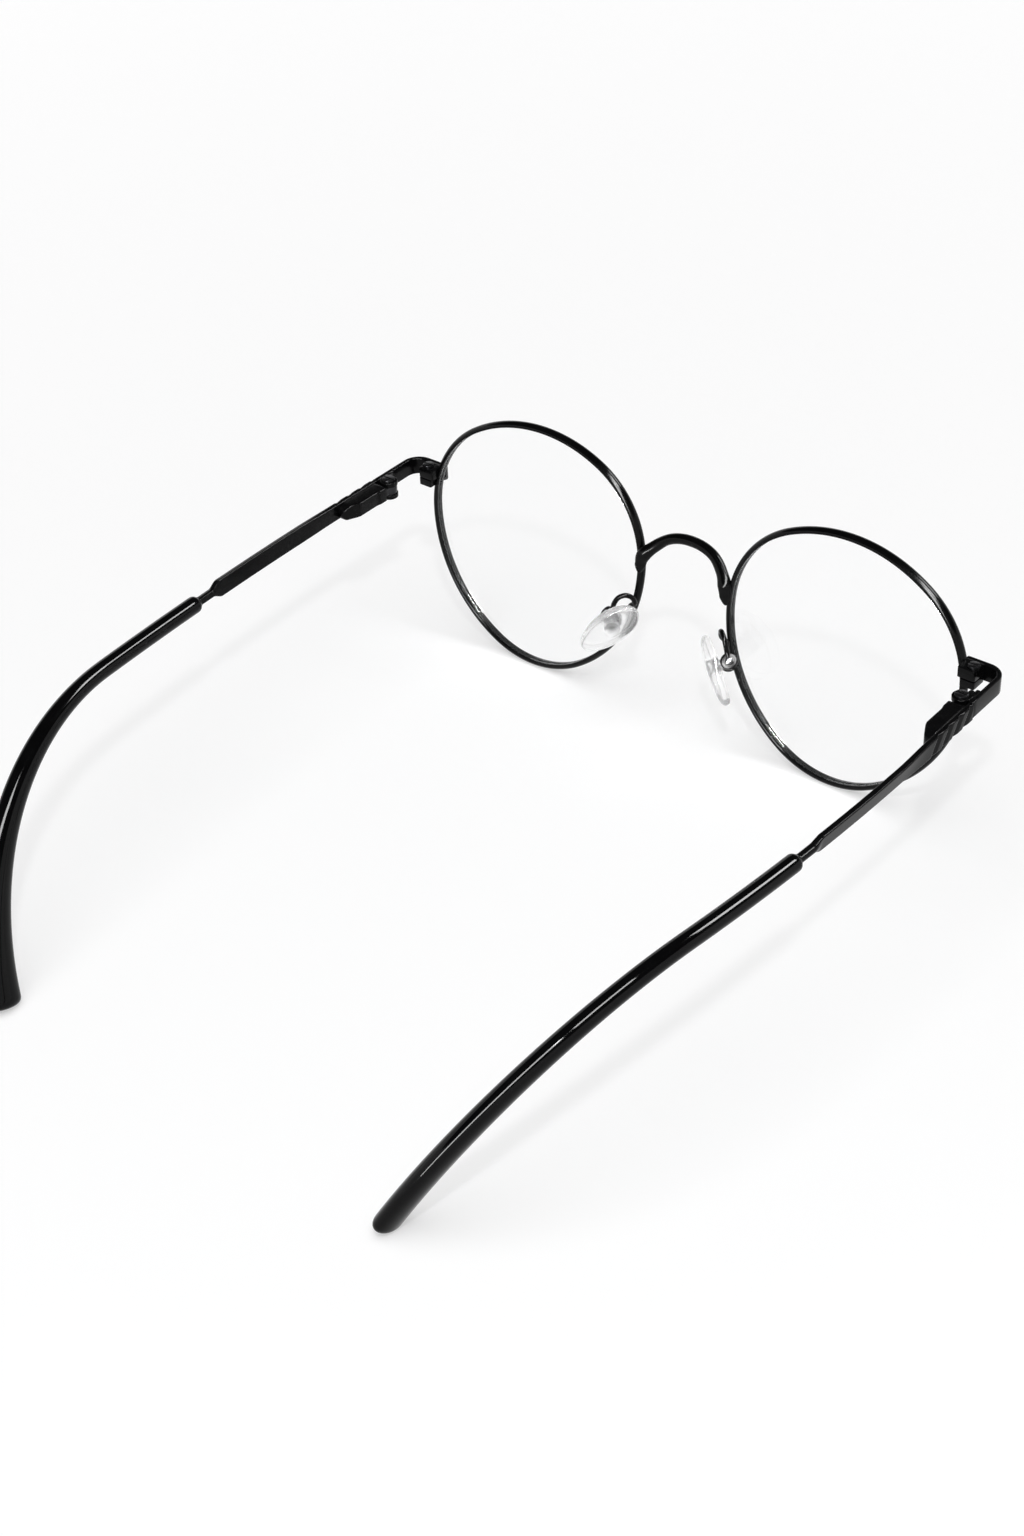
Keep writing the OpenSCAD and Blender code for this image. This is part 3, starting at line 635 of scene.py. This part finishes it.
silicone = film("clear_silicone", ((0.955, 0.957, 0.96), (0.975, 0.977, 0.98)), (0.1, 0.16),
                metallic=0.0, grain=900, bump=0.04, least=0.72, rise=0.26, power=2.2, bends=0.9, ior=1.4,
                window=in_metres(at_pad((-pad_t / 2, 0, box_c[2]))))


def pad_shape():
    """The soft pad: a crowned face, a rounded edge and a flat back with a pocket."""
    n = 72
    rings = []

    def ring(x, w, l):
        return [at_pad((x, w * q[1] * (1 + 0.1 * q[0]), l * q[0])) for q in circle(1, n)]

    def pocket_ring(x):
        return [at_pad((x, q[1], box_c[2] + q[0])) for q in circle(pocket_r, n)]

    # Crowned face, rounded edge, then the flat back
    for k in range(1, 15):
        a = 90 * k / 14
        f = sind(a) ** 0.8
        rings.append(ring(-pad_t / 2 + 0.62 * pad_t * (1 - cosd(a)) ** 1.3, pad_w / 2 * f, pad_l / 2 * f))
    for k in range(1, 6):
        a = 90 * k / 5
        f = 0.9 + 0.1 * cosd(a)
        rings.append(ring(0.12 * pad_t + 0.38 * pad_t * sind(a), pad_w / 2 * f, pad_l / 2 * f))
    edge, hole = rings[-1], pocket_ring(pad_t / 2)
    for f in (0.12, 0.4, 0.7, 0.95):
        rings.append([a.lerp(b, f) for a, b in zip(edge, hole)])
    return skin(rings + [hole, pocket_ring(pad_t / 2 - pocket_l)])


def insert_shapes():
    """The plate in the pad's pocket, with a raised ring round its middle, and the stud with its bore."""
    face = pad_t / 2 - pocket_l + seat
    rear = pad_t / 2 - face
    r = pocket_r - 2 * seat

    def at_disc(p):
        return at_pad((face + p[2], p[1], box_c[2] + p[0]))

    plate = lathe([(0, 0.2), (0.72, 0.2), (0.8, 0.1), (0.86, 0), (1.0, 0), (1.08, 0.16), (r - 0.1, 0.16),
                   (r, 0.26), (r, rear), (0, rear)], 48, at_disc)
    back = -(box_c[0] - pad_t / 2 + 0.05)
    side = [(back, -stud_r), (back, stud_r), *circle(stud_r, 15, start=90, turn=-180)]
    stud = slab(side, -stud_w / 2, stud_w / 2, 0.08, [circle(pad_screw_r + run, 24)], 2, across_box)
    return [plate, stud]


def pad_bolt_shape():
    """The pad screw: a ring head round a recess, with a small pip in its middle."""
    half_w = slot_w / 2 + ear_w
    shank = [(0, -half_w), (pad_screw_r, -half_w), (pad_screw_r, half_w), (bolt_r, half_w)]
    # Radius and depth under the head's top
    head = [(bolt_r, 0.24), (0.68, 0.12), (0.62, 0.03), (0.54, 0), (0.46, 0.03), (0.4, 0.12),
            (0.36, 0.42), (0.2, 0.44), (0.18, 0.28), (0.1, 0.2), (0, 0.18)]
    return lathe(shank + [(r, half_w + bolt_up - drop) for r, drop in head], 40,
                 lambda p: at_pad(box_c + Vector((p[0], p[2], -p[1]))))


def arm_shapes():
    """The wire arm from the rim to the pad box, with the box's two ears and the web between them."""
    root = rim_pt(180 + math.degrees(math.asin(arm_root / rim_r)))
    root += Vector((0, rim_d / 2 + arm_r + seat, 0))
    path = [root - Vector((0, 0, 0.4)), root + Vector((0.05, 0.05, 0.5))]
    path += [pad_c + pad_turn @ Vector(p) for p in (
        (3.5, -1.3, 6.0), (3.5, 0.2, 6.7), (3.5, 1.6, 6.3), (3.5, 2.2, 5.0), (3.4, 1.9, 3.6),
        (3.3, 1.3, 2.5), (3.2, 1.1, 1.5))]
    lean = pad_turn @ Vector((1, 0, 0))
    steps = 8 * (len(path) - 1)
    # How far back and how thick the rings of the rounded root end are
    root_end = ((0, 1), (-0.12, 0.85), (-0.2, 0.5))
    rings = []
    for i in range(-2, steps + 1):
        t = max(i, 0) / 8
        back, share = root_end[max(0, -i)]
        d = spline_dir(path, t)
        x = lean.cross(d).normalized()
        y = d.cross(x)
        c = spline(path, t) + d * back
        rings.append([on_front(c + q[0] * x + q[1] * y) for q in circle(arm_r * share, 16)])
    shapes = [skin(rings)]
    bore = circle(pad_screw_r + run, 24)
    for sign in (-1, 1):
        low, high = sorted((sign * slot_w / 2, sign * (slot_w / 2 + ear_w)))
        shapes.append(slab(circle(box_r, 48), low, high, 0.14, [bore], 3, across_box))
    a = math.degrees(math.acos(web_at / box_r))
    web = circle(box_r - 0.01, 16, start=-a, turn=2 * a)
    shapes.append(slab(web, -slot_w / 2 - 0.1, slot_w / 2 + 0.1, 0, at=across_box))
    return shapes


# End piece, closing block and hinge

def strip_section(t, h, r):
    return round_rect(t / 2, h / 2, r, 5)


def end_piece_shape():
    """The strip from its lug in front of the rim, round the corner to the seam."""
    x0 = rim_out - rim_t
    lug = lug_t + 0.12
    mid = Vector((side_x - corner_r, front_face + corner_r))
    r = corner_r - strip_t / 2
    full = strip_section(strip_t, strip_h, 0.22)
    strip_x = side_x - strip_t / 2
    rings = []
    for dx, thick, tall in ((0, 0.8, 0.78), (0.06, 0.95, 0.85), (0.2, 1, 0.94), (0.42, 1, 1)):
        rings.append([Vector((x0 + dx, front_face + lug / 2 + q[0], temple_z + q[1]))
                      for q in strip_section(lug * thick, strip_h * tall, 0.18)])
    places = [(x, front_face + strip_t / 2, -90) for x in (x0 + 0.6, rim_out + 0.5, (rim_out + mid[0]) / 2)]
    places += [(mid[0] + r * cosd(a), mid[1] + r * sind(a), a) for a in range(-90, 1, 6)]
    places += [(strip_x, mixed(mid[1], seam_y - 0.06, i / 6), 0) for i in range(1, 7)]
    for px, py, a in places:
        n = dir2(a)
        rings.append([Vector((px + q[0] * n[0], py + q[0] * n[1], temple_z + q[1])) for q in full])
    rings.append([Vector((strip_x + 0.93 * q[0], seam_y, temple_z + 0.98 * q[1])) for q in full])
    return skin(rings)


def block_shape(low, high):
    """One half of the closing block, from the rim's outer side to the free end, with the screw's bore."""
    up = (low + high) / 2 - rim_h
    start = rim_x + math.sqrt(outline_r(lock_t) ** 2 - up * up) + rim_t / 2 - block_lap
    y0, y1 = front_face + strip_t, front_face + strip_t + block_d
    plan = soft([(start, y0), (block_out, y0 - 0.02), (block_out, y1), (start, y1)],
                [0.1, 0.1, 0.35, 0.3], 6)
    return slab(plan, low, high, 0.16, [circle(lock_r + run, 32, (lock[0], lock[1]))], 3)


def at_pin(p):
    return pin + Vector(p)


def fork_shapes():
    """The two ears with their bores and noses, and the web that joins them to the end piece."""
    ear_h = (hinge_h - tongue_h) / 2 - gap
    half = hinge_h / 2
    fore = -knuckle_r
    wall = pin_in + 0.05
    # Three quarters of the knuckle, a nose in front of it, and the side that meets the end piece
    plan = circle(knuckle_r, 36, turn=270)[:-3]
    nose = [(0.3, fore), (0.35, fore - 0.6), (0.5, fore - 0.75), (1.05, fore - 0.75), (1.2, fore - 0.6),
            (1.35, fore)]
    plan += [Vector(p) for p in (*nose, (wall, fore), (wall, -0.2), (knuckle_r, -0.2))]
    plan = [p for i, p in enumerate(plan) if (p - plan[i - 1]).length > 0.02]
    bore = [circle(screw_r + run, 32)]
    web = soft([(pin_in - 0.6, fore - 1.4), (wall, fore - 1.4), (wall, fore + 0.2),
                (pin_in - 0.6, fore + 0.2)], [0.3, 0, 0, 0], 4)
    return [slab(plan, -half, ear_h - half, 0.1, bore, 3, at_pin),
            slab(plan, half - ear_h, half, 0.1, bore, 3, at_pin),
            slab(web, -half, half, 0.08, (), 2, at_pin)]


tongue_w, slot_l, shoulder_l = 2, 2.2, 0.6
house_y = pin_ahead + housing_back
house_w = bar_in - pin[0] + tongue_w / 2 + run + house_wall
waist_w = bar_in - pin[0] + chamber_r + house_wall
end_room, knuckle_play = 0.3, 0.15
slot_ramp, slope_l, slope_fall, house_edge = 0.6, 1.5, 0.55, 0.6
rod_end = house_y + housing_l - housing_taper - end_room / 2


def slider_shapes():
    """The knuckle with its tongue, and the rod behind it."""
    bush_r = screw_r + run + bush_t + run
    back = house_y + slot_l - gap
    r = knuckle_r - knuckle_play
    a = math.degrees(math.asin(tongue_w / 2 / r))
    plan = circle(r, 44, start=90 + a, turn=360 - 2 * a)
    plan += [Vector((tongue_w / 2, back)), Vector((-tongue_w / 2, back))]
    rod = lathe([(0, back - 0.3), (rod_r, back - 0.3), (rod_r, rod_end - 0.08), (rod_r - 0.08, rod_end),
                 (0, rod_end)], 24, lambda p: at_pin((p[0], p[2], p[1])))
    return [slab(plan, -tongue_h / 2, tongue_h / 2, 0.08, [circle(bush_r, 32)], 2, at_pin), rod]


def house_width(y):
    """Width of the housing at y behind its front: wide round the slot, narrower, then tapered."""
    if y < slot_l + shoulder_l:
        return mixed(house_w, waist_w, smooth01((y - slot_l + slot_ramp) / (shoulder_l + slot_ramp)))
    t = max(0, (y - housing_l + housing_taper) / housing_taper)
    return mixed(waist_w, housing_end + 0.2, mixed(t, smooth01(t), 0.55))


def housing_shape():
    """Lofted along the bar; its rear end slopes down from a crisp edge."""
    y0 = pin[1] + house_y
    slope_at = housing_l - slope_l
    into_bar = 0.05
    fore = {0: 0.95, 0.05: 0.985, 0.16: 1}
    places = list(fore) + [mixed(0.16, slope_at, i / 26) for i in range(1, 27)]
    places += [mixed(slope_at + 0.04, housing_l, f) for f in (0, 0.25, 0.5, 0.72, 0.88, 0.97, 1)]
    rings = []
    for y in places:
        end = max(0, (y - housing_l + house_edge) / house_edge)
        k = fore.get(y, 1) * math.sqrt(1 - 0.9 * end * end)
        w = house_width(y) * k + into_bar
        top = housing_h / 2 * k - max(0, y - slope_at) * slope_fall
        low = -housing_h / 2 * k
        mid = Vector((bar_in + into_bar - w / 2, y0 + y, temple_z + (top + low) / 2))
        rings.append([mid + Vector((q[0], 0, q[1])) for q in round_rect(w / 2, (top - low) / 2, 0.26, 6)])
    return skin(rings)


# Temple

def notch_cut(s, y):
    """Depth of the coined notches at s along the bar and y up its outer face."""
    for i in range(notches):
        u = (s - notch_ramp - notch_rise - i * notch_pitch) * cosd(notch_lean) + y * sind(notch_lean)
        half = (notch_ramp + notch_rise) / 2
        if -half < u <= notch_ramp - half:
            return notch_d * (u + half) / notch_ramp
        if notch_ramp - half < u < half:
            return notch_d * (half - u) / notch_rise
    return 0


def bar_section(w, h, r):
    """Outer face first, in many points from bottom to top for the notches, then round the other sides."""
    fine, n = 22, 6
    pts = [(-w, mixed(r - h, h - r, i / fine)) for i in range(fine + 1)]
    corners = (((r - w, h - r), 1, n), ((w - r, h - r), 0, n),
               ((w - r, r - h), 0, n), ((r - w, r - h), 0, n - 1))
    for k, ((x, y), first, last) in enumerate(corners):
        for i in range(first, last + 1):
            a = 180 - 90 * k - 90 * i / n
            pts.append((x + r * cosd(a), y + r * sind(a)))
    return pts


def bar_shape():
    """The bar with its coined notches, the shoulder and the core wire as far as inside the tip."""
    shoulder_at, shoulder_run, notch_step, front_share = bar_l - 1.6, 2.4, 0.14, 0.94
    places = [gap, gap + 0.07] + [gap + 0.07 + notch_step * i for i in range(1, 116)]
    places += [mixed(places[-1], shoulder_at, i / 24) for i in range(1, 25)]
    rings = []
    for s in places:
        k = front_share if s == gap else 1
        section = []
        for x, y in bar_section(bar_t / 2 * k, bar_h / 2 * k, bar_edge):
            if x < 0:
                x += notch_cut(s, y) * smooth01(-x / (bar_t / 2))
            section.append((x, y))
        rings.append(across(s, section))
    # The flat bar closes in to the round core wire
    base = bar_section(bar_t / 2, bar_h / 2, bar_edge)
    angles = [math.atan2(y / (bar_h / 2), x / (bar_t / 2)) for x, y in base]
    core = [(core_r * math.cos(a), core_r * math.sin(a)) for a in angles]
    for i in range(1, 13):
        f = smooth01(i / 12)
        section = [(mixed(p[0], q[0], f), mixed(p[1], q[1], f)) for p, q in zip(base, core)]
        rings.append(across(shoulder_at + shoulder_run * i / 12, section))
    return skin(rings + [across(s, core) for s in (bar_l + 2, bar_l + 3.2, tip_at, tip_at + 3)])


def tip_shape():
    """The tip from the mouth round the core wire over its nose to the closed paddle."""
    n = 40
    nose_l = 0.8 * tip_r
    end_l = paddle_t / 2
    end_power = 2.8
    mouth_r = core_r + 0.04
    places = [tip_at + nose_l * f for f in (0.0, 0.04, 0.12, 0.25, 0.42, 0.62, 0.82, 1)]
    places += [mixed(tip_at + nose_l, bend_at, i / 24) for i in range(1, 25)]
    places += [mixed(bend_at, temple_l - end_l, i / 48) for i in range(1, 49)]
    places += [temple_l - end_l * f for f in (0.85, 0.7, 0.55, 0.42, 0.3, 0.2, 0.12, 0.06, 0.02, 0.003)]
    rings = [across(s, circle(mouth_r, n)) for s in (tip_at + 2, tip_at + 0.02)]
    for s in places:
        w, h = tip_size(s)
        f = min(1, (s - tip_at) / nose_l)
        g = min(1, (temple_l - s) / end_l)
        k = max(math.sqrt(max(0, 1 - (1 - f) ** 2)), (mouth_r + 0.12) / tip_r)
        k *= (1 - (1 - g) ** end_power) ** (1 / end_power)
        rings.append(across(s, [(k * w * q[0], k * h * q[1]) for q in circle(1, n)]))
    return skin(rings)


def build_side(side_name, s):
    """The pieces of the left side, or of its mirror image with s = -1."""
    def of(node):
        return f"{node}_{side_name}"

    front, temple, pad = "front", of("temple"), of("pad")
    piece(of("rim_wire"), [rim_shape()], s, front, wire_black, [of("rim")], 40)
    piece(of("lens_dish"), [lens_shape()], s, front, glass, [of("lens")], 30)
    piece(of("pad_wire"), arm_shapes(), s, front, wire_black, [of("pad_arm")])
    piece(of("pad_bolt"), [pad_bolt_shape()], s, front, steel, [of("pad_screw")])
    piece(of("pad_core"), insert_shapes(), s, pad, core_grey, [of("pad_insert")])
    piece(of("pad_cushion"), [pad_shape()], s, pad, silicone, [of("nose_pad")], 60)
    piece(of("end_strip"), [end_piece_shape()], s, front, black, [of("end_piece")])
    cut = temple_z - slit_down
    piece(of("block_top"), [block_shape(cut + slit / 2, block_top)], s, front, black,
          [of("rim_block_upper")])
    piece(of("block_base"), [block_shape(block_low, cut - slit / 2)], s, front, black,
          [of("rim_block_lower")])
    piece(of("block_bolt"), screw(lock_r + 0.5, 0.45, lock_r, block_low, block_top, lambda p: lock + p),
          s, front, dark_steel, [of("rim_screw")])
    piece(of("fork_ears"), fork_shapes(), s, front, black, [of("hinge_fork")])
    piece(of("hinge_bolt"), screw(screw_r + 0.65, 0.45, screw_r, -hinge_h / 2, hinge_h / 2, at_pin),
          s, front, dark_steel, [of("hinge_screw")])
    piece(of("slide_knuckle"), slider_shapes(), s, of("slider"), dark_steel,
          [of("hinge_slider")])
    piece(of("housing_shell"), [housing_shape()], s, temple, black, [of("spring_housing")])
    piece(of("temple_strip"), [bar_shape()], s, temple, black, [of("temple_bar")])
    piece(of("ear_tip"), [tip_shape()], s, temple, gloss, [of("temple_tip")], 50)
    for node, material in (("hinge_bush", bronze), ("slider_nut", steel), ("flex_spring", steel)):
        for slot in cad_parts[of(node)].material_slots:
            slot.material = material


build_side("left", 1)
build_side("right", -1)


# Stage, light and camera

def sweep_floor():
    """A round floor that turns up at its edge, and that camera and mirror rays see brighter further out."""
    flat_r, turn_r = 1.4, 0.4
    profile = [(0, 0), (0.5, 0), (1.0, 0), (flat_r, 0)]
    profile += [(flat_r + turn_r * sind(a), turn_r * (1 - cosd(a))) for a in range(10, 81, 10)]
    profile += [(1.8, 0.5), (1.85, 0.8)]
    verts, faces = lathe(profile, 96)
    mesh = bpy.data.meshes.new("studio_sweep")
    mesh.from_pydata(verts, [], faces)
    mesh.polygons.foreach_set("use_smooth", [True] * len(mesh.polygons))
    obj = bpy.data.objects.new("studio_sweep", mesh)
    bpy.context.scene.collection.objects.link(obj)
    mat, nt, bsdf = nodes_of("pale_sweep")
    bsdf.inputs["Base Color"].default_value = (0.5, 0.5, 0.502, 1)
    bsdf.inputs["Roughness"].default_value = 0.9
    bsdf.inputs["Specular IOR Level"].default_value = 0.0
    near, off, near_glow, off_glow = 0.1, 1.9, 0.505, 0.9
    rays = nt.nodes.new("ShaderNodeLightPath").outputs
    shown = combined(nt, "MAXIMUM", rays["Is Camera Ray"], rays["Is Glossy Ray"])
    shown = combined(nt, "MAXIMUM", shown, rays["Is Transmission Ray"])
    coord = nt.nodes.new("ShaderNodeTexCoord")
    far = nt.nodes.new("ShaderNodeVectorMath")
    far.operation = "LENGTH"
    nt.links.new(coord.outputs["Object"], far.inputs[0])
    lift = ranged(nt, far.outputs["Value"], near_glow, off_glow, near, off)
    glow = nt.nodes.new("ShaderNodeEmission")
    nt.links.new(combined(nt, "MULTIPLY", shown, lift), glow.inputs["Strength"])
    add = nt.nodes.new("ShaderNodeAddShader")
    nt.links.new(bsdf.outputs["BSDF"], add.inputs[0])
    nt.links.new(glow.outputs["Emission"], add.inputs[1])
    nt.links.new(add.outputs["Shader"], nt.nodes["Material Output"].inputs["Surface"])
    mesh.materials.append(mat)


def lamp(name, place, size, power, length=0.0, along=0.0):
    """A round lamp that faces the origin, or with a length a strip along y, moved along it."""
    data = bpy.data.lights.new(name, "AREA")
    data.shape = "RECTANGLE" if length else "DISK"
    data.size = length or size
    if length:
        data.size_y = size
    data.energy = power
    obj = bpy.data.objects.new(name, data)
    back = Vector(place).normalized()
    side = (Vector((0, 1, 0)) - back * back.y).normalized()
    obj.matrix_world = (Matrix.Translation(Vector(place) + along * side)
                        @ Matrix((side, back.cross(side), back)).transposed().to_4x4())
    bpy.context.scene.collection.objects.link(obj)
    return obj


def camera(eye, right, ahead, lens):
    """The scene's camera, set up from its place and directions in the frame."""
    data = bpy.data.cameras.new("camera")
    data.lens = lens
    data.sensor_width = 36
    data.clip_start, data.clip_end = 0.01, 20
    obj = bpy.data.objects.new("camera", data)
    right, ahead = Vector(right).normalized(), Vector(ahead).normalized()
    up = right.cross(ahead).normalized()
    axes = Matrix((ahead.cross(up), up, -ahead)).transposed()
    obj.matrix_world = Matrix.Translation(eye) @ axes.to_4x4()
    bpy.context.scene.collection.objects.link(obj)
    bpy.context.scene.camera = obj


sweep_floor()
lamp("key", (-0.253, 0.277, 0.533), size=0.045, power=0.8)
# A broken row of strips that shows only as highlights: width, power, length and place along the row
strips = ((0.4, 36.0, 0.6, -1.45), (0.16, 8.0, 0.33, -0.27), (0.16, 26.0, 1.1, 0.5))
for i, (width, watts, length, along) in enumerate(strips):
    strip = lamp(f"strip_{i}", (-0.26, 0.3, 0.5), width, watts, length, along)
    strip.visible_diffuse = strip.visible_camera = False
fill = lamp("fill", (-0.39, 0.78, 3.9), size=5.3, power=168.0)
fill.visible_glossy = False

world = bpy.data.worlds.new("studio")
world.use_nodes = True
world.node_tree.nodes["Background"].inputs["Color"].default_value = (1, 1, 1, 1)
world.node_tree.nodes["Background"].inputs["Strength"].default_value = 0.03
bpy.context.scene.world = world

camera((-0.23794, 0.271255, 0.289192), right=(-0.784656, -0.619064, -0.032767),
       ahead=(0.516131, -0.623082, -0.587687), lens=60.242)
bpy.context.scene.view_settings.view_transform = "Standard"
